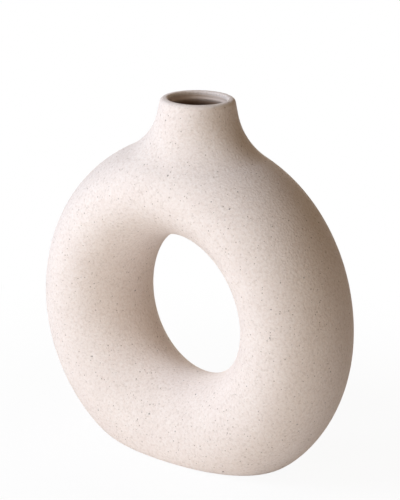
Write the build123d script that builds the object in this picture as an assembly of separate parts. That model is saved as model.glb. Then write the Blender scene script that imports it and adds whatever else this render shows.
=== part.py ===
"""Donut vase: a hollow eccentric ring of stoneware with a flat foot and a short flared neck.

The ring is pressed in two halves, front and back, which are luted together with slip along the
outer edge and round the hole. A thrown neck collar is let into the crown and luted there too.
A glossy liner glaze coats the whole inside. X is the width, Y the depth (the front is -Y), Z is
up, and the origin is the middle of the foot, on the surface that the vase stands on.
"""
import math
import os

from build123d import *

# Driving dimensions, in millimetres.
# Outer outline of the ring: an egg made of two half ellipses that share its widest line.
RING_HALF_WIDTH = 94.9
WIDEST_HEIGHT = 77.1
CROWN_RISE = 101.9
BELLY_DROP = 95.8

# Hole outline, an ellipse set higher than the middle, so that the ring is thickest at the foot.
HOLE_HALF_WIDTH = 38.5
HOLE_HALF_HEIGHT = 40.6
HOLE_CENTRE_HEIGHT = 84.9

# Depth of the ring's oval section, front to back, and how softly it settles into the flat foot.
HALF_DEPTH_CROWN = 36.4
HALF_DEPTH_FOOT = 30.4
FOOT_SOFTNESS = 5.0
FOOT_TRIM = 1.0

# Neck: outer radius at the lip and how much it widens for each millimetre down, rise of the lip
# over the crown, flare into the shoulders, roundings of the lip outside and inside.
NECK_RADIUS = 19.7
NECK_TAPER = 0.2
NECK_RISE = 20.9
FLARE_RADIUS = 36.0
LIP_ROUNDING = 2.6
BORE_ROUNDING = 1.2

# Clay wall and floor, liner glaze, slip in the joints, and how much wider than the neck's lip the
# collar's seat in the crown is cut.
WALL = 4.2
FLOOR_THICKNESS = 5.5
GLAZE = 0.5
GLAZE_EDGE_BELOW_LIP = 2.0
SLIP = 1.0
COLLAR_MARGIN = 4.8

# Sections lofted through on one side of the ring, spans of the curve on the front of a section,
# and how many of each go on past the planes of symmetry, to be trimmed off there.
SECTIONS = 12
SPANS = 12
OVERRUN = 2

# Heights and the seat that follow from these, and a reach larger than the vase for cutting blocks.
CROWN_HEIGHT = WIDEST_HEIGHT + CROWN_RISE
LIP_HEIGHT = CROWN_HEIGHT + NECK_RISE
CROWN_MIDDLE = (CROWN_HEIGHT + HOLE_CENTRE_HEIGHT + HOLE_HALF_HEIGHT) / 2
COLLAR_SEAT_RADIUS = NECK_RADIUS + COLLAR_MARGIN
REACH = 4 * (RING_HALF_WIDTH + LIP_HEIGHT)


def settled(height):
    """Height over the foot after settling: a hyperbola from zero far below it to unchanged above."""
    return (height + math.hypot(height, FOOT_SOFTNESS)) / 2


def section(angle, inset, floor):
    """Front of the ring's section at an angle round the ring, set in from the outer face.

    It is an ellipse between the outer outline and the hole outline, settled on to the floor, drawn
    a little past the plane y = 0 at both ends and closed by a chord there.
    """
    across, up = math.cos(angle), math.sin(angle)
    rise = CROWN_RISE if up > 0 else BELLY_DROP
    outer = Vector((RING_HALF_WIDTH - inset) * across, 0, WIDEST_HEIGHT + (rise - inset) * up)
    hole_rise = (HOLE_HALF_HEIGHT + inset) * up
    hole = Vector((HOLE_HALF_WIDTH + inset) * across, 0, HOLE_CENTRE_HEIGHT + hole_rise)
    mean_depth = (HALF_DEPTH_CROWN + HALF_DEPTH_FOOT) / 2
    depth = mean_depth + (HALF_DEPTH_CROWN - HALF_DEPTH_FOOT) / 2 * up - inset
    middle, arm = (outer + hole) / 2, (outer - hole) / 2

    points = []
    for k in range(-OVERRUN, SPANS + OVERRUN + 1):
        turn = math.pi * k / SPANS
        point = middle + arm * math.cos(turn) - Vector(0, depth * math.sin(turn), 0)
        base = floor - FOOT_TRIM
        points.append(Vector(point.X, point.Y, base + settled(point.Z - base)))
    even_steps = [k / (len(points) - 1) for k in range(len(points))]
    curve = Edge.make_spline(points, parameters=even_steps)
    return Wire([curve, Edge.make_line(points[-1], points[0])])


def quarter_form(inset, floor, top):
    """Right front quarter of the vase's form, set in by an inset: ring, flat foot, flared neck."""
    step = math.pi / SECTIONS
    steps_from_foot = range(-OVERRUN, SECTIONS + OVERRUN + 1)
    ring = Solid.make_loft([section(k * step - math.pi / 2, inset, floor) for k in steps_from_foot])
    neck = Pos(0, 0, CROWN_MIDDLE) * Cone(
        NECK_RADIUS - inset + NECK_TAPER * (LIP_HEIGHT - CROWN_MIDDLE),
        NECK_RADIUS - inset + NECK_TAPER * (LIP_HEIGHT - top),
        top - CROWN_MIDDLE,
        align=(Align.CENTER, Align.CENTER, Align.MIN),
    )
    quarter = Pos(REACH / 2, -REACH / 2, floor + REACH / 2) * Box(REACH, REACH, REACH)
    form = ((ring & quarter) + (neck & quarter)).solid()
    neck_wall = form.faces().filter_by(GeomType.CONE).sort_by(Axis.Z)[-1]
    shoulder = neck_wall.edges().filter_by(GeomType.BSPLINE)
    return form.fillet(FLARE_RADIUS + inset, shoulder)


def slab(y_low, y_high):
    """Everything between two planes across the depth."""
    return Pos(0, (y_low + y_high) / 2, 0) * Box(REACH, y_high - y_low, REACH)


def seat(radius):
    """Upright cylinder round the neck, from the middle of the crown upwards."""
    return Pos(0, 0, CROWN_MIDDLE) * Cylinder(
        radius, REACH, align=(Align.CENTER, Align.CENTER, Align.MIN)
    )


def front_half(quarter):
    """A right front quarter joined to its mirror image on the left."""
    return quarter + mirror(quarter, Plane.YZ)


def behind(front):
    """The same piece behind the plane y = 0."""
    return mirror(front, Plane.XZ)


def whole(quarter):
    """A right front quarter joined to its mirror images on the left and behind."""
    front = front_half(quarter)
    return front + behind(front)


# Quarters of the three nested forms: the outside, the cavity in the clay, the glaze's face.
cavity_top = LIP_HEIGHT + WALL
outside = quarter_form(0, 0, LIP_HEIGHT)
cavity = quarter_form(WALL, FLOOR_THICKNESS, cavity_top)
glaze_face = quarter_form(WALL + GLAZE, FLOOR_THICKNESS + GLAZE, cavity_top)
clay = outside - cavity

# Half shells, pressed in a mould: the clay outside the collar's seat, less half of the slip joint.
ring_clay = clay - seat(COLLAR_SEAT_RADIUS)
front_half_shell = front_half(ring_clay & slab(-REACH, -SLIP / 2))
back_half_shell = behind(front_half_shell)

# Slip joints between the half shells: one band along the outer edge, one round the hole.
seam_bands = whole(ring_clay & slab(-SLIP / 2, 0)).solids().sort_by(SortBy.VOLUME)
inner_seam_slip = seam_bands[0]
outer_seam_slip = seam_bands[-1]

# Neck collar, thrown, with a soft rounded lip, and the ring of slip that it is luted in with.
collar = whole(clay & seat(COLLAR_SEAT_RADIUS - SLIP)).solid()
lip_edges = collar.edges().filter_by(GeomType.CIRCLE).group_by(Axis.Z)[-1].group_by(SortBy.RADIUS)
neck_collar = collar.fillet(LIP_ROUNDING, lip_edges[-1]).fillet(BORE_ROUNDING, lip_edges[0])
neck_seam_slip = whole(clay & (seat(COLLAR_SEAT_RADIUS) - seat(COLLAR_SEAT_RADIUS - SLIP)))

# Liner glaze: a thin coat on the cavity's whole face, ending just below the lip.
above_glaze = Pos(0, 0, LIP_HEIGHT - GLAZE_EDGE_BELOW_LIP + REACH / 2) * Box(REACH, REACH, REACH)
glaze_lining = whole(cavity - glaze_face - above_glaze)

PIECES = {
    "front_half_shell": front_half_shell,
    "back_half_shell": back_half_shell,
    "outer_seam_slip": outer_seam_slip,
    "inner_seam_slip": inner_seam_slip,
    "neck_collar": neck_collar,
    "neck_seam_slip": neck_seam_slip,
    "glaze_lining": glaze_lining,
}

os.makedirs("parts", exist_ok=True)
for name, piece in PIECES.items():
    export_step(piece, f"parts/{name}.step")
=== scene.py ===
"""Donut vase of speckled stoneware: a hollow ring on a flat foot, with a short flared neck."""
import math

import bpy
import numpy as np
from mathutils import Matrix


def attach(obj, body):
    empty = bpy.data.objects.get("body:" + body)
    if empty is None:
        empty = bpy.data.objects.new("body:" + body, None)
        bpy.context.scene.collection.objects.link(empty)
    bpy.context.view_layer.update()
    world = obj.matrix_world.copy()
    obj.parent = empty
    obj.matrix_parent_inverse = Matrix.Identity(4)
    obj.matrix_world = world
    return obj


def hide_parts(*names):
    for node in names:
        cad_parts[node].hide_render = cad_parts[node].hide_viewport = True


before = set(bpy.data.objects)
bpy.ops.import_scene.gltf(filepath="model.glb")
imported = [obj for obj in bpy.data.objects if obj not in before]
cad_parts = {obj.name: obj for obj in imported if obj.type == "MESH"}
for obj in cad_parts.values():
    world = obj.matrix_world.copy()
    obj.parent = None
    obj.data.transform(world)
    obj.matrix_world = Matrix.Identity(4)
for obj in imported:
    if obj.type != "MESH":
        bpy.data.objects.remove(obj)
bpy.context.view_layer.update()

# Half shells: the front and the back of the hollow ring, each pressed from speckled stoneware clay
# in a mould. They are luted together with slip and sponged smooth before firing, so that the
# outside runs on without a seam. Lengths are millimetres until a mesh is made of them.
RING_HALF_WIDTH = 94.9
WIDEST_HEIGHT = 77.1
CROWN_RISE = 101.9
BELLY_DROP = 95.8
HOLE_HALF_WIDTH = 38.5
HOLE_HALF_HEIGHT = 40.6
HOLE_CENTRE_HEIGHT = 84.9
HALF_DEPTH_CROWN = 36.4
HALF_DEPTH_FOOT = 30.4
FOOT_SOFTNESS = 5.0
FOOT_TRIM = 1.0
NECK_RADIUS = 19.7
NECK_TAPER = 0.2
NECK_RISE = 20.9
FLARE_RADIUS = 36.0
COLLAR_MARGIN = 4.8
WALL = 4.2
FLOOR_THICKNESS = 5.5
SLIP = 1.0
LIP_HEIGHT = WIDEST_HEIGHT + CROWN_RISE + NECK_RISE
NECK_LEAN = math.atan(NECK_TAPER)
COLLAR_SEAT_RADIUS = NECK_RADIUS + COLLAR_MARGIN

# Faces of the clay, each by its inset from the outside and the height of its floor.
OUTSIDE = 0, 0
HOLLOW = WALL, FLOOR_THICKNESS

COLUMNS_ROUND_RING = 192
COLUMNS_UNDER_NECK = 72
ROWS_OF_RING = 49
ROWS_OF_FLARE = 13


def settled(height):
    """Height over the foot: a hyperbola from zero far below the foot to unchanged far above it."""
    return (height + np.hypot(height, FOOT_SOFTNESS)) / 2


def ring_depth(angle):
    """Half depth of the ring, front to back, growing with the sine of the angle to the crown."""
    share_of_crown = (1 + np.sin(angle)) / 2
    return HALF_DEPTH_FOOT + (HALF_DEPTH_CROWN - HALF_DEPTH_FOOT) * share_of_crown


def ring_form(face, angle, turn):
    """Point on one of the ring's faces.

    The angle runs round the ring and finds a point on the egg-shaped outline and one on the oval
    hole. The turn runs round the ellipse that spans the two, from the outline over the front. The
    ellipse settles softly on to the floor, where it is cut flat.
    """
    inset, floor_height = face
    across, up = np.cos(angle), np.sin(angle)
    rise = np.where(up > 0, CROWN_RISE, BELLY_DROP)
    outline_x, outline_z = (RING_HALF_WIDTH - inset) * across, WIDEST_HEIGHT + (rise - inset) * up
    hole_x = (HOLE_HALF_WIDTH + inset) * across
    hole_z = HOLE_CENTRE_HEIGHT + (HOLE_HALF_HEIGHT + inset) * up
    share = (1 + np.cos(turn)) / 2
    x = hole_x + (outline_x - hole_x) * share
    y = (inset - ring_depth(angle)) * np.sin(turn)
    base = floor_height - FOOT_TRIM
    z = base + settled(hole_z + (outline_z - hole_z) * share - base)
    return np.stack([x, y, np.maximum(z, floor_height)], axis=-1)


def unit(vectors):
    """Vectors divided by their lengths."""
    return vectors / np.linalg.norm(vectors, axis=-1, keepdims=True)


def ring_normal(face, angle, turn):
    """Outward normal of the ring: a short step along the angle crossed with one along the turn."""
    step = 1e-4
    along = ring_form(face, angle + step, turn) - ring_form(face, angle - step, turn)
    around = ring_form(face, angle, turn + step) - ring_form(face, angle, turn - step)
    return unit(np.cross(along, around))


def leaning(azimuth):
    """Outward normal of the tapered neck at an azimuth: level, but tipped up by the neck's lean."""
    level, rise = math.cos(NECK_LEAN), np.full_like(azimuth, math.sin(NECK_LEAN))
    return np.stack([level * np.cos(azimuth), level * np.sin(azimuth), rise], axis=-1)


def flare_contact(face, azimuth):
    """Angle and turn where a ball that rolls round the foot of the neck touches the ring.

    Newton's method: the ring's point, moved out by the ball's radius, has to be the ball's centre,
    and that lies at the azimuth, one ball's radius off the tapered neck's wall. The first guess is
    some way down the crown at the sides, and some way round its section in front and behind.
    """
    GUESS_DOWN, GUESS_ROUND, STEP, ROUNDS = 0.42, 0.93, 1e-3, 10
    outward = np.stack([np.cos(azimuth), np.sin(azimuth)], axis=-1)
    inset = face[0]
    ball = FLARE_RADIUS + inset

    def miss(angle, turn):
        centre = ring_form(face, angle, turn) + ball * ring_normal(face, angle, turn)
        touch_height = centre[..., 2] - ball * math.sin(NECK_LEAN)
        neck_here = NECK_RADIUS - inset + NECK_TAPER * (LIP_HEIGHT - touch_height)
        orbit = neck_here + ball * math.cos(NECK_LEAN)
        return centre[..., :2] - orbit[..., None] * outward

    angle = np.pi / 2 - GUESS_DOWN * np.cos(azimuth)
    turn = -GUESS_ROUND * np.sin(azimuth)
    for _ in range(ROUNDS):
        off = miss(angle, turn)
        by_angle = (miss(angle + STEP, turn) - miss(angle - STEP, turn)) / (2 * STEP)
        by_turn = (miss(angle, turn + STEP) - miss(angle, turn - STEP)) / (2 * STEP)
        area = by_angle[..., 0] * by_turn[..., 1] - by_angle[..., 1] * by_turn[..., 0]
        angle = angle - (off[..., 0] * by_turn[..., 1] - off[..., 1] * by_turn[..., 0]) / area
        turn = turn - (by_angle[..., 0] * off[..., 1] - by_angle[..., 1] * off[..., 0]) / area
    return angle, turn


def neck_form(face, azimuth, climb):
    """Point and normal of the flare and the neck over it.

    From climb 0 to 1 the flare follows the rolling ball from the ring to the neck, turning evenly
    from one contact to the other. From 1 to 2 the neck goes on straight to the height of the lip.
    """
    contact = flare_contact(face, azimuth)
    ball = FLARE_RADIUS + face[0]
    to_ring = -ring_normal(face, *contact)
    centre = ring_form(face, *contact) - ball * to_ring
    to_neck = -leaning(azimuth)
    bend = np.arccos(np.clip(np.sum(to_ring * to_neck, axis=-1), -1, 1))
    part = np.clip(climb, 0, 1)
    ring_share, neck_share = np.sin((1 - part) * bend), np.sin(part * bend)
    to_face = to_ring * ring_share[..., None] + to_neck * neck_share[..., None]
    to_face = to_face / np.sin(bend)[..., None]
    points = centre + ball * to_face
    rise = np.clip(climb - 1, 0, 1) * (LIP_HEIGHT - points[..., 2])
    inward = -NECK_TAPER * rise
    steps = [inward * np.cos(azimuth), inward * np.sin(azimuth), rise]
    return points + np.stack(steps, axis=-1), -to_face


def climb_to(face, azimuth, is_below):
    """Climb up to which the points of the flare and neck are below a mark, by halving intervals."""
    HALVINGS = 30
    low, high = np.zeros_like(azimuth), np.full_like(azimuth, 2)
    for _ in range(HALVINGS):
        middle = (low + high) / 2
        below = is_below(neck_form(face, azimuth, middle)[0])
        low, high = np.where(below, middle, low), np.where(below, high, middle)
    return (low + high) / 2


def climb_to_radius(face, azimuth, radius):
    """Climb at which the flare or neck is that far from the neck's axis."""
    return climb_to(face, azimuth, lambda points: np.hypot(points[..., 0], points[..., 1]) > radius)


def climb_to_height(face, azimuth, height):
    """Climb at which the flare or neck is at a height."""
    return climb_to(face, azimuth, lambda points: points[..., 2] < height)


def grid_quads(ids, closed):
    """Quads of a grid of vertex numbers, by column and row, its end columns joined if closed."""
    here = ids if closed else ids[:-1]
    beside = np.roll(ids, -1, axis=0) if closed else ids[1:]
    corners = [here[:, :-1], here[:, 1:], beside[:, 1:], beside[:, :-1]]
    return np.stack(corners, axis=-1).reshape(-1, 4)


def front_skin(face, gap, neck_rows):
    """Face of the vase in front of the plane y = -gap: points, normals, quads and edges.

    Columns go clockwise, seen from the front: down the right of the ring, up its left, then
    under the neck from left to right. Each starts at the seam, or under the neck at the flare, and
    ends at the seam in the hole. Flare columns climb from there through the neck_rows given.
    """
    side_reach = np.hypot(*ring_form(face, *flare_contact(face, np.array(0.0)))[:2])
    seam_azimuth = math.asin(gap / side_reach)
    azimuth = np.linspace(seam_azimuth - np.pi, -seam_azimuth, COLUMNS_UNDER_NECK)
    contact_angle, contact_turn = flare_contact(face, azimuth)
    ends = contact_angle[-1], contact_angle[0] - 2 * np.pi
    round_angle = np.linspace(*ends, COLUMNS_ROUND_RING + 2)[1:-1]
    angle = np.concatenate([round_angle, contact_angle])
    seam_turn = np.arcsin(gap / (ring_depth(angle) - face[0]))
    start = np.concatenate([seam_turn[:COLUMNS_ROUND_RING], contact_turn])
    share = np.linspace(0, 1, ROWS_OF_RING)
    turn = start[:, None] + (np.pi - seam_turn - start)[:, None] * share
    ring_points = ring_form(face, angle[:, None], turn)
    ring_normals = ring_normal(face, angle[:, None], turn)
    climbs = neck_rows(face, azimuth)[:, 1:]
    flare_points, flare_normals = neck_form(face, azimuth[:, None], climbs)

    ring_ids = np.arange(turn.size).reshape(turn.shape)
    above = turn.size + np.arange(flare_points[..., 0].size).reshape(flare_points.shape[:2])
    flare_ids = np.concatenate([ring_ids[COLUMNS_ROUND_RING:, :1], above], axis=1)
    points = np.concatenate([ring_points.reshape(-1, 3), flare_points.reshape(-1, 3)])
    normals = np.concatenate([ring_normals.reshape(-1, 3), flare_normals.reshape(-1, 3)])
    quads = np.concatenate([grid_quads(ring_ids, True), grid_quads(flare_ids, False)[:, ::-1]])
    edges = {
        "outer_seam": np.concatenate(
            [flare_ids[-1, ::-1], ring_ids[:COLUMNS_ROUND_RING, 0], flare_ids[0]]
        ),
        "top": flare_ids[:, -1],
        "hole_seam": ring_ids[:, -1],
    }
    for seam in ("outer_seam", "hole_seam"):
        points[edges[seam], 1] = -gap
    return points, normals, quads, edges


def flat_normals(points, quads):
    """Each quad's own normal, once for each of its corners: its diagonals crossed."""
    first, second, third, fourth = points[quads].swapaxes(0, 1)
    return np.repeat(unit(np.cross(third - first, fourth - second))[:, None], 4, axis=1)


def edge_strip(path, inner_path):
    """Quads between two matching paths of vertex numbers."""
    return np.stack([path[:-1], path[1:], inner_path[1:], inner_path[:-1]], axis=-1)


def make_piece(name, points, faces, normals, material):
    """Object at the origin from points in millimetres, quads and a normal for each face corner."""
    mesh = bpy.data.meshes.new(name)
    mesh.from_pydata((points / 1000).tolist(), [], faces.tolist())
    mesh.shade_smooth()
    mesh.normals_split_custom_set(normals.reshape(-1, 3).tolist())
    mesh.materials.append(material)
    piece = bpy.data.objects.new(name, mesh)
    bpy.context.collection.objects.link(piece)
    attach(piece, "root")
    return piece


def linear(hex_colour):
    """Linear RGBA of an sRGB hex colour."""
    channels = [int(hex_colour[k:k + 2], 16) / 255 for k in (1, 3, 5)]
    return [c / 12.92 if c <= 0.04045 else ((c + 0.055) / 1.055) ** 2.4 for c in channels] + [1]


def add_node(tree, kind, settings, **inputs):
    """Adds a node with its settings. Each input is a value, or an output socket to link from.

    An input's name is its socket's, with spaces as underscores, or in_ and its number.
    """
    node = tree.nodes.new(kind)
    for key, value in settings.items():
        setattr(node, key, value)
    for key, value in inputs.items():
        number = key.removeprefix("in_")
        socket = node.inputs[int(number) if number.isdigit() else key.replace("_", " ")]
        if isinstance(value, bpy.types.NodeSocket):
            tree.links.new(value, socket)
        else:
            socket.default_value = value
    return node


def stoneware(name):
    """Unglazed stoneware, sponged smooth: matte and warm white, faintly mottled by the kiln, with a
    sandy tooth, a dense darker grain and iron specks of two sizes burnt through.

    The grain shows where a noise rises over a level. Each speck is a soft-edged ball round a
    scattered point, its radius the largest one times a random share to a power, so that a higher
    power makes large specks rarer. The sand and the grain are drawn a few times coarser than the
    real half millimetre, so that they show.
    """
    PALE, WARM, GRAIN_COLOUR = "#EFE4DB", "#E5D8CF", "#B3A191"
    MOTTLE_MM, SAND_MM, GRAIN_MM = 16, 1.3, 1.6
    SAND_CONTRAST, TOOTH_MM = 0.5, 0.2
    GRAIN_FROM, GRAIN_FULL, GRAIN_COVER = 0.48, 0.72, 0.28
    SPECKS = (
        # spacing in mm, largest radius in mm, power, colour
        (1.8, 0.60, 1.8, "#8B7767"),
        (4.8, 0.85, 3.0, "#5E4E43"),
    )
    material = bpy.data.materials.new(name)
    material.use_nodes = True
    tree = material.node_tree
    shader = tree.nodes["Principled BSDF"]
    place = add_node(tree, "ShaderNodeTexCoord", {}).outputs["Object"]
    mottle = add_node(
        tree, "ShaderNodeTexNoise", {}, Vector=place, Scale=1000 / MOTTLE_MM, Detail=3.0
    )
    colour = add_node(
        tree, "ShaderNodeMix", {"data_type": "RGBA"}, Factor=mottle.outputs["Fac"],
        in_6=linear(WARM), in_7=linear(PALE),
    ).outputs[2]
    sand = add_node(tree, "ShaderNodeTexNoise", {}, Vector=place, Scale=1000 / SAND_MM, Detail=2.0)
    colour = add_node(
        tree, "ShaderNodeMix", {"data_type": "RGBA", "blend_type": "SOFT_LIGHT"},
        Factor=SAND_CONTRAST, in_6=colour, in_7=sand.outputs["Fac"],
    ).outputs[2]
    clumps = add_node(
        tree, "ShaderNodeTexNoise", {}, Vector=place, Scale=1000 / GRAIN_MM, Detail=2.0,
        Roughness=0.7,
    )
    grain = add_node(
        tree, "ShaderNodeMapRange", {"interpolation_type": "SMOOTHSTEP"},
        Value=clumps.outputs["Fac"], From_Min=GRAIN_FROM, From_Max=GRAIN_FULL, To_Max=GRAIN_COVER,
    )
    colour = add_node(
        tree, "ShaderNodeMix", {"data_type": "RGBA"}, Factor=grain.outputs[0],
        in_6=colour, in_7=linear(GRAIN_COLOUR),
    ).outputs[2]
    for spacing, largest, power, tint in SPECKS:
        cells = add_node(tree, "ShaderNodeTexVoronoi", {}, Vector=place, Scale=1000 / spacing)
        chance = add_node(tree, "ShaderNodeSeparateColor", {}, Color=cells.outputs["Color"])
        share = add_node(
            tree, "ShaderNodeMath", {"operation": "POWER"}, in_0=chance.outputs[0], in_1=power
        )
        radius = add_node(
            tree, "ShaderNodeMath", {"operation": "MULTIPLY"},
            in_0=share.outputs[0], in_1=largest / spacing,
        )
        speck = add_node(
            tree, "ShaderNodeMapRange", {"interpolation_type": "SMOOTHSTEP"},
            Value=cells.outputs["Distance"], From_Min=0.0, From_Max=radius.outputs[0],
            To_Min=1.0, To_Max=0.0,
        )
        colour = add_node(
            tree, "ShaderNodeMix", {"data_type": "RGBA"}, Factor=speck.outputs[0],
            in_6=colour, in_7=linear(tint),
        ).outputs[2]
    tooth = add_node(
        tree, "ShaderNodeBump", {}, Strength=1.0, Distance=TOOTH_MM / 1000,
        Height=sand.outputs["Fac"],
    )
    tree.links.new(colour, shader.inputs["Base Color"])
    tree.links.new(tooth.outputs[0], shader.inputs["Normal"])
    shader.inputs["Roughness"].default_value = 0.88
    shader.inputs["Specular IOR Level"].default_value = 0.25
    return material


pressed_clay = stoneware("speckled_stoneware")


def shell_rows(face, azimuth):
    """Climbs of the flare on a half shell: evenly from the ring to the collar's seat."""
    seat = climb_to_radius(face, azimuth, COLLAR_SEAT_RADIUS)
    return seat[:, None] * np.linspace(0, 1, ROWS_OF_FLARE)


outside, out_normals, out_quads, rim = front_skin(OUTSIDE, SLIP / 2, shell_rows)
inside, in_normals, in_quads, _ = front_skin(HOLLOW, SLIP / 2, shell_rows)
shell_points = np.concatenate([outside, inside])
count = len(outside)
shell_edge = np.concatenate([rim["outer_seam"], rim["top"][1:]])
hole_edge = np.append(rim["hole_seam"], rim["hole_seam"][0])
rim_quads = np.concatenate([
    edge_strip(shell_edge, shell_edge + count),
    edge_strip(hole_edge, hole_edge + count)[:, ::-1],
])
shell_quads = np.concatenate([out_quads, in_quads[:, ::-1] + count, rim_quads])
shell_normals = np.concatenate([
    out_normals[out_quads], -in_normals[in_quads[:, ::-1]], flat_normals(shell_points, rim_quads)
])
MIRROR = np.array([1, -1, 1])

front_half_shell = make_piece(
    "front_half_shell_stoneware", shell_points, shell_quads, shell_normals, pressed_clay
)
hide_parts("front_half_shell")
back_half_shell = make_piece(
    "back_half_shell_stoneware", shell_points * MIRROR, shell_quads[:, ::-1],
    shell_normals[:, ::-1] * MIRROR, pressed_clay
)
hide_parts("back_half_shell")


# Seam slip: liquid clay that lutes the half shells together, one band along the outer edge and one
# round the hole. It is fettled flush when leather-hard and fires to the same body as the shells.
sponged_slip = stoneware("speckled_stoneware_slip")


def seam_band(name, path, closed):
    """Band between the half shells: a rectangle, as wide as the slip, carried along a seam path.

    Its two faces in the clay's outer and inner surface are shaded as smoothly as the clay is.
    """
    face, back = outside[path], inside[path]
    corners = [face, face * MIRROR, back * MIRROR, back]
    points = np.stack(corners, axis=1)
    ids = np.arange(points[..., 0].size).reshape(points.shape[:2])
    quads = grid_quads(np.append(ids, ids[:, :1], axis=1), closed)
    level_normals = unit(out_normals[path] * np.array([1, 0, 1]))
    points = points.reshape(-1, 3)
    normals = flat_normals(points, quads)
    smooth = np.repeat(level_normals, 4, axis=0)[quads]
    along = np.sum(normals * smooth, axis=-1, keepdims=True)
    in_surface = np.abs(along) > math.cos(math.pi / 3)
    normals = np.where(in_surface, np.sign(along) * smooth, normals)
    if not closed:
        caps = np.array([ids[0, ::-1], ids[-1]])
        quads = np.concatenate([quads, caps])
        normals = np.concatenate([normals, flat_normals(points, caps)])
    return make_piece(name, points, quads, normals, sponged_slip)


outer_seam_slip = seam_band("outer_seam_slip_stoneware", rim["outer_seam"], False)
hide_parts("outer_seam_slip")
inner_seam_slip = seam_band("inner_seam_slip_stoneware", rim["hole_seam"], True)
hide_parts("inner_seam_slip")


# Neck collar: thrown on the wheel from the same clay, with a soft rounded lip, then let into the
# opening of the crown. Its lower edge takes up the flare where the shells leave off.
LIP_ROUNDING = 2.6
BORE_ROUNDING = 1.2
COLUMNS_OF_NECK = 144
ROWS_OF_COLLAR = 13
ROWS_OF_LIP = 8
neck_azimuth = np.linspace(0, -2 * np.pi, COLUMNS_OF_NECK, endpoint=False)


def collar_face(face, top):
    """Points and normals of the collar's wall on one face, from its seat up to a height."""
    seat = climb_to_radius(face, neck_azimuth, COLLAR_SEAT_RADIUS - SLIP)[:, None]
    reach = climb_to_height(face, neck_azimuth, top)[:, None] - seat
    climbs = seat + reach * np.linspace(0, 1, ROWS_OF_COLLAR)
    return neck_form(face, neck_azimuth[:, None], climbs)


def lip_arc(face_radius, rounding, start, end):
    """Arc of the lip's section, swept round the neck, from one slope to another.

    Its centre is its rounding below the lip, and the same distance off the neck's wall, whose
    radius at the lip is face_radius.
    """
    slope = np.linspace(start, end, ROWS_OF_LIP)[None]
    wall_slope = start if start < np.pi / 2 else end
    touch = rounding * math.cos(wall_slope)
    touch_depth = rounding * (1 - math.sin(wall_slope))
    radius = face_radius + NECK_TAPER * touch_depth - touch + rounding * np.cos(slope)
    across, deep = np.cos(neck_azimuth)[:, None], np.sin(neck_azimuth)[:, None]
    rise = np.broadcast_to(np.sin(slope), (COLUMNS_OF_NECK, ROWS_OF_LIP))
    height = LIP_HEIGHT - rounding + rounding * rise
    points = np.stack([radius * across, radius * deep, height], axis=-1)
    normals = np.stack([np.cos(slope) * across, np.cos(slope) * deep, rise], axis=-1)
    return points, normals


outer_lip, outer_lip_normals = lip_arc(NECK_RADIUS, LIP_ROUNDING, NECK_LEAN, np.pi / 2)
inner_lip, inner_lip_normals = lip_arc(
    NECK_RADIUS - WALL, BORE_ROUNDING, np.pi / 2, np.pi + NECK_LEAN
)
neck_wall, wall_normals = collar_face(OUTSIDE, outer_lip[0, 0, 2])
bore, bore_normals = collar_face(HOLLOW, inner_lip[0, -1, 2])
collar_points = np.concatenate(
    [neck_wall[:, :-1], outer_lip, inner_lip, bore[:, -2::-1]], axis=1
)
collar_normals = np.concatenate([
    wall_normals[:, :-1], outer_lip_normals, inner_lip_normals, -bore_normals[:, -2::-1]
], axis=1)


def ring_piece(name, points, normals, material):
    """Section carried round the neck, with its first and last rows joined by a flat edge."""
    ids = np.arange(points[..., 0].size).reshape(points.shape[:2])
    points, normals = points.reshape(-1, 3), normals.reshape(-1, 3)
    quads = grid_quads(ids, True)
    edge = grid_quads(ids[:, [-1, 0]], True)
    corner_normals = np.concatenate([normals[quads], flat_normals(points, edge)])
    return make_piece(name, points, np.concatenate([quads, edge]), corner_normals, material)


thrown_clay = stoneware("speckled_stoneware_thrown")
neck_collar = ring_piece("neck_collar_stoneware", collar_points, collar_normals, thrown_clay)
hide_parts("neck_collar")


# Neck seam slip: the ring of liquid clay that lutes the collar into the crown. It is scraped flush
# with the flare, inside and outside.
def slip_face(face):
    """Points and normals of the slip on one face, between the shells' seat and the collar's."""
    radii = COLLAR_SEAT_RADIUS, COLLAR_SEAT_RADIUS - SLIP
    climbs = [climb_to_radius(face, neck_azimuth, radius) for radius in radii]
    return neck_form(face, neck_azimuth[:, None], np.stack(climbs, axis=1))


slip_front, front_normals = slip_face(OUTSIDE)
slip_back, back_normals = slip_face(HOLLOW)
slip_ids = np.arange(4 * COLUMNS_OF_NECK).reshape(COLUMNS_OF_NECK, 4)
slip_points = np.concatenate([slip_front, slip_back[:, ::-1]], axis=1).reshape(-1, 3)
slip_looks = np.concatenate([front_normals, -back_normals[:, ::-1]], axis=1).reshape(-1, 3)
face_quads = np.concatenate([grid_quads(slip_ids[:, k:k + 2], True) for k in (0, 2)])
side_quads = np.concatenate([grid_quads(slip_ids[:, k], True) for k in ([1, 2], [3, 0])])
neck_seam_slip = make_piece(
    "neck_seam_slip_stoneware", slip_points, np.concatenate([face_quads, side_quads]),
    np.concatenate([slip_looks[face_quads], flat_normals(slip_points, side_quads)]), sponged_slip
)
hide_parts("neck_seam_slip")


# Liner glaze: poured in and out again before firing, so it coats the whole hollow and the bore of
# the neck up to just below the lip. It melts to a glossy skin over the throwing rings, thin at the
# rim. Its colour is painted shade: pale at the rim and brown deeper down the bore, where the hollow
# neck is in shade.
GLAZE = 0.5
GLAZE_EDGE_BELOW_LIP = 2.0
GLAZE_EDGE = LIP_HEIGHT - GLAZE_EDGE_BELOW_LIP
GLAZE_FACE = WALL + GLAZE, FLOOR_THICKNESS + GLAZE
THINNING_STRETCH, THINNED_TO = 2.5, 0.1
ROWS_OF_GLAZED_NECK = 18
MERGE_DECIMALS = 5


def glaze_rows(face, azimuth):
    """Climbs of the glaze: evenly over flare and neck, up to the glaze's edge in the bore."""
    edge = climb_to_height(face, azimuth, GLAZE_EDGE)
    return edge[:, None] * np.linspace(0, 1, ROWS_OF_GLAZED_NECK)


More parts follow.
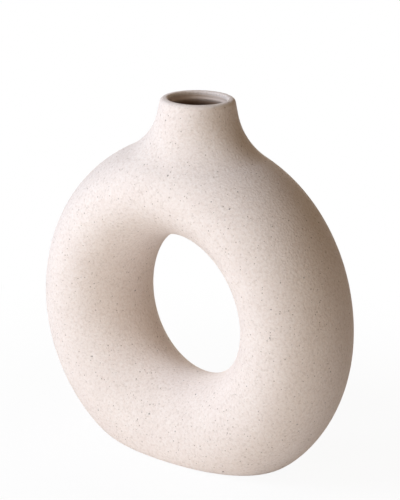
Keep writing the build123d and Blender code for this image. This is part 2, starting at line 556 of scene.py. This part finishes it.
clay_side, clay_normals, clay_quads, clay_rim = front_skin(HOLLOW, 0, glaze_rows)
wet_side, wet_normals, wet_quads, _ = front_skin(GLAZE_FACE, 0, glaze_rows)
thickness = np.clip((GLAZE_EDGE - clay_side[:, 2:]) / THINNING_STRETCH, THINNED_TO, 1)
wet_side = clay_side + thickness * (wet_side - clay_side)
count = len(clay_side)
top_quads = edge_strip(clay_rim["top"], clay_rim["top"] + count)
half_points = np.concatenate([clay_side, wet_side])
half_quads = np.concatenate([clay_quads, wet_quads[:, ::-1] + count, top_quads])
half_normals = np.concatenate([
    clay_normals[clay_quads], -wet_normals[wet_quads[:, ::-1]], flat_normals(half_points, top_quads)
])

# The coat has no seam: the front's points and their mirror image become one where they meet, once
# both are rounded. Adding zero turns minus zero into zero.
both = np.round(np.concatenate([half_points, half_points * MIRROR]), MERGE_DECIMALS) + 0.0
glaze_points, merged = np.unique(both, axis=0, return_inverse=True)
both_quads = np.concatenate([half_quads, half_quads[:, ::-1] + len(half_points)])
both_normals = np.concatenate([half_normals, half_normals[:, ::-1] * MIRROR])

# Fired liner glaze: soft highlights on a warm brown that the ripples of throwing break up. The
# wave texture runs through WAVE_RADIANS in one unit at scale 1.
WAVE_RADIANS = 20
POOLING_MM, THROWING_RING_MM, RING_DEPTH_MM = 14, 2.4, 0.4
# Heights over which the glaze goes from brown deep in the bore to pale at the rim: painted shade.
PALE_TO, BROWN_FROM = LIP_HEIGHT - 3.6, LIP_HEIGHT - 6.2
PALE_GLAZE, BROWN_GLAZE, POOLED_GLAZE = "#F2DFD1", "#927B69", "#776050"
liner = bpy.data.materials.new("glossy_liner_glaze")
liner.use_nodes = True
liner_tree = liner.node_tree
liner_shader = liner_tree.nodes["Principled BSDF"]
liner_place = add_node(liner_tree, "ShaderNodeTexCoord", {}).outputs["Object"]
pooling = add_node(
    liner_tree, "ShaderNodeTexNoise", {}, Vector=liner_place, Scale=1000 / POOLING_MM, Detail=4.0
)
brown = add_node(
    liner_tree, "ShaderNodeMix", {"data_type": "RGBA"}, Factor=pooling.outputs["Fac"],
    in_6=linear(POOLED_GLAZE), in_7=linear(BROWN_GLAZE),
)
height = add_node(liner_tree, "ShaderNodeSeparateXYZ", {}, Vector=liner_place).outputs["Z"]
# Painted shade: the glaze's colour darkens from pale at the rim to brown deeper down the bore.
painted_depth_shade = add_node(
    liner_tree, "ShaderNodeMapRange", {"interpolation_type": "SMOOTHSTEP"}, Value=height,
    From_Min=BROWN_FROM / 1000, From_Max=PALE_TO / 1000,
)
liner_colour = add_node(
    liner_tree, "ShaderNodeMix", {"data_type": "RGBA"}, Factor=painted_depth_shade.outputs[0],
    in_6=brown.outputs[2], in_7=linear(PALE_GLAZE),
)
throwing_rings = add_node(
    liner_tree, "ShaderNodeTexWave", {"wave_type": "BANDS", "bands_direction": "Z"},
    Vector=liner_place, Scale=2 * math.pi / WAVE_RADIANS * 1000 / THROWING_RING_MM,
    Distortion=1.5, Detail=1.0, Detail_Scale=0.6,
)
ripple = add_node(
    liner_tree, "ShaderNodeBump", {}, Strength=0.35, Distance=RING_DEPTH_MM / 1000,
    Height=throwing_rings.outputs["Fac"],
)
liner_tree.links.new(liner_colour.outputs[2], liner_shader.inputs["Base Color"])
liner_tree.links.new(ripple.outputs[0], liner_shader.inputs["Normal"])
liner_shader.inputs["Roughness"].default_value = 0.28
liner_shader.inputs["Specular IOR Level"].default_value = 0.35

glaze_lining = make_piece(
    "glaze_lining_glossy", glaze_points, merged.reshape(-1)[both_quads], both_normals, liner
)
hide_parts("glaze_lining")


# Stage: a floor of plain white paper. The camera and glossy surfaces see it white, with a trace of
# the shadow near the vase, while the light that it sends back up comes from its own pale colour.
# From here on lengths are metres.
FLOOR_HALF_SIZE = 3.0
SHADOW_TO, WHITE_FROM, WHITENESS_NEAR = 0.08, 0.3, 0.93


def seen_directly(tree):
    """Socket that is 1 for camera, glossy and transmission rays and 0 for rays that carry light."""
    rays = add_node(tree, "ShaderNodeLightPath", {})
    shown = rays.outputs["Is Camera Ray"]
    for kind in ("Is Glossy Ray", "Is Transmission Ray"):
        shown = add_node(
            tree, "ShaderNodeMath", {"operation": "MAXIMUM"}, in_0=shown, in_1=rays.outputs[kind]
        ).outputs[0]
    return shown


corners = FLOOR_HALF_SIZE * np.array([[-1, -1, 0], [1, -1, 0], [1, 1, 0], [-1, 1, 0]])
floor_mesh = bpy.data.meshes.new("floor")
floor_mesh.from_pydata(corners.tolist(), [], [[0, 1, 2, 3]])
paper = bpy.data.materials.new("white_paper_sweep")
paper.use_nodes = True
paper_tree = paper.node_tree
paper_shader = paper_tree.nodes["Principled BSDF"]
paper_shader.inputs["Base Color"].default_value = linear("#F9F7F5")
paper_shader.inputs["Roughness"].default_value = 0.95
paper_shader.inputs["Specular IOR Level"].default_value = 0.0
lit_paper = add_node(paper_tree, "ShaderNodeEmission", {}, Color=linear("#FFFFFF"), Strength=1.0)
from_vase = add_node(
    paper_tree, "ShaderNodeVectorMath", {"operation": "LENGTH"},
    in_0=add_node(paper_tree, "ShaderNodeTexCoord", {}).outputs["Object"],
)
whiteness = add_node(
    paper_tree, "ShaderNodeMapRange", {"interpolation_type": "SMOOTHSTEP"},
    Value=from_vase.outputs["Value"], From_Min=SHADOW_TO, From_Max=WHITE_FROM,
    To_Min=WHITENESS_NEAR, To_Max=1.0,
)
seen = add_node(
    paper_tree, "ShaderNodeMath", {"operation": "MULTIPLY"},
    in_0=seen_directly(paper_tree), in_1=whiteness.outputs[0],
)
paper_mix = add_node(
    paper_tree, "ShaderNodeMixShader", {}, in_0=seen.outputs[0],
    in_1=paper_shader.outputs[0], in_2=lit_paper.outputs[0],
)
paper_tree.links.new(paper_mix.outputs[0], paper_tree.nodes["Material Output"].inputs["Surface"])
floor_mesh.materials.append(paper)
floor = bpy.data.objects.new("floor", floor_mesh)
bpy.context.collection.objects.link(floor)


# Light: one large soft box from the left and above, weaker low ones in front and behind, and an
# even warm glow from the room, which the camera and glossy surfaces see as white.
world = bpy.data.worlds.new("white_room")
bpy.context.scene.world = world
world.use_nodes = True
room = world.node_tree
glow = room.nodes["Background"]
glow.inputs["Color"].default_value = linear("#FFDBB1")
glow.inputs["Strength"].default_value = 0.2
white = add_node(room, "ShaderNodeBackground", {}, Color=linear("#FFFFFF"), Strength=1.0)
backdrop = add_node(
    room, "ShaderNodeMixShader", {}, in_0=seen_directly(room),
    in_1=glow.outputs[0], in_2=white.outputs[0],
)
room.links.new(backdrop.outputs[0], room.nodes["World Output"].inputs["Surface"])


def towards(azimuth, elevation):
    """Unit vector to an azimuth and elevation in degrees, azimuth 0 in front, 90 on the right."""
    azimuth, elevation = math.radians(azimuth), math.radians(elevation)
    level = math.cos(elevation)
    return np.array([math.sin(azimuth) * level, -math.cos(azimuth) * level, math.sin(elevation)])


def facing(back, roll=0):
    """Rotation of a lamp or camera that looks along the negative of a vector, turned by a roll."""
    right = unit(np.array([-back[1], back[0], 0]))
    up = np.cross(back, right)
    cosine, sine = math.cos(math.radians(roll)), math.sin(math.radians(roll))
    return np.stack([cosine * right + sine * up, cosine * up - sine * right, back], axis=1)


def place_at(thing, point, rotation):
    """Sets an object's place and its rotation, and links it into the scene."""
    matrix = np.eye(4)
    matrix[:3, :3], matrix[:3, 3] = rotation, point
    thing.matrix_world = matrix.T.tolist()
    bpy.context.collection.objects.link(thing)


LAMP_AIM = np.array([0, 0, 0.1])
SOFT_BOXES = (
    # name, azimuth and elevation in degrees, distance, size, watts, colour
    ("key_soft_box", -40, 35, 1.3, 0.7, 13.0, "#D6E7FF"),
    ("fill_soft_box", 0, 8, 1.3, 0.7, 7.3, "#FFFCF6"),
    ("back_soft_box", 216, 8, 1.3, 0.7, 8.0, "#FFFCF6"),
)
for name, azimuth, elevation, distance, size, power, tint in SOFT_BOXES:
    lamp = bpy.data.lights.new(name, "AREA")
    lamp.shape = "SQUARE"
    lamp.size = size
    lamp.energy = power
    lamp.color = linear(tint)[:3]
    back = towards(azimuth, elevation)
    place_at(bpy.data.objects.new(name, lamp), LAMP_AIM + distance * back, facing(back))


# Camera: a long lens from the right of the front, a little above the vase. The focal length and
# the offsets of the picture's middle are pixels of a picture of 400 by 500.
camera_data = bpy.data.cameras.new("camera")
camera = bpy.data.objects.new("camera", camera_data)
CAMERA_AZIMUTH, CAMERA_ELEVATION, CAMERA_ROLL, CAMERA_DISTANCE = 36.10, 18.06, 0.77, 1.0
CAMERA_AIM = np.array([0, 0, 0.112])
IMAGE_HEIGHT, FOCAL_PIXELS, OFFSET_X, OFFSET_Y = 500, 1850.4, -4.38, 6.6
camera_data.lens = camera_data.sensor_width * FOCAL_PIXELS / IMAGE_HEIGHT
camera_data.shift_x = -OFFSET_X / IMAGE_HEIGHT
camera_data.shift_y = OFFSET_Y / IMAGE_HEIGHT
camera_back = towards(CAMERA_AZIMUTH, CAMERA_ELEVATION)
place_at(camera, CAMERA_AIM + CAMERA_DISTANCE * camera_back, facing(camera_back, CAMERA_ROLL))
bpy.context.scene.camera = camera
bpy.context.scene.view_settings.view_transform = "Standard"
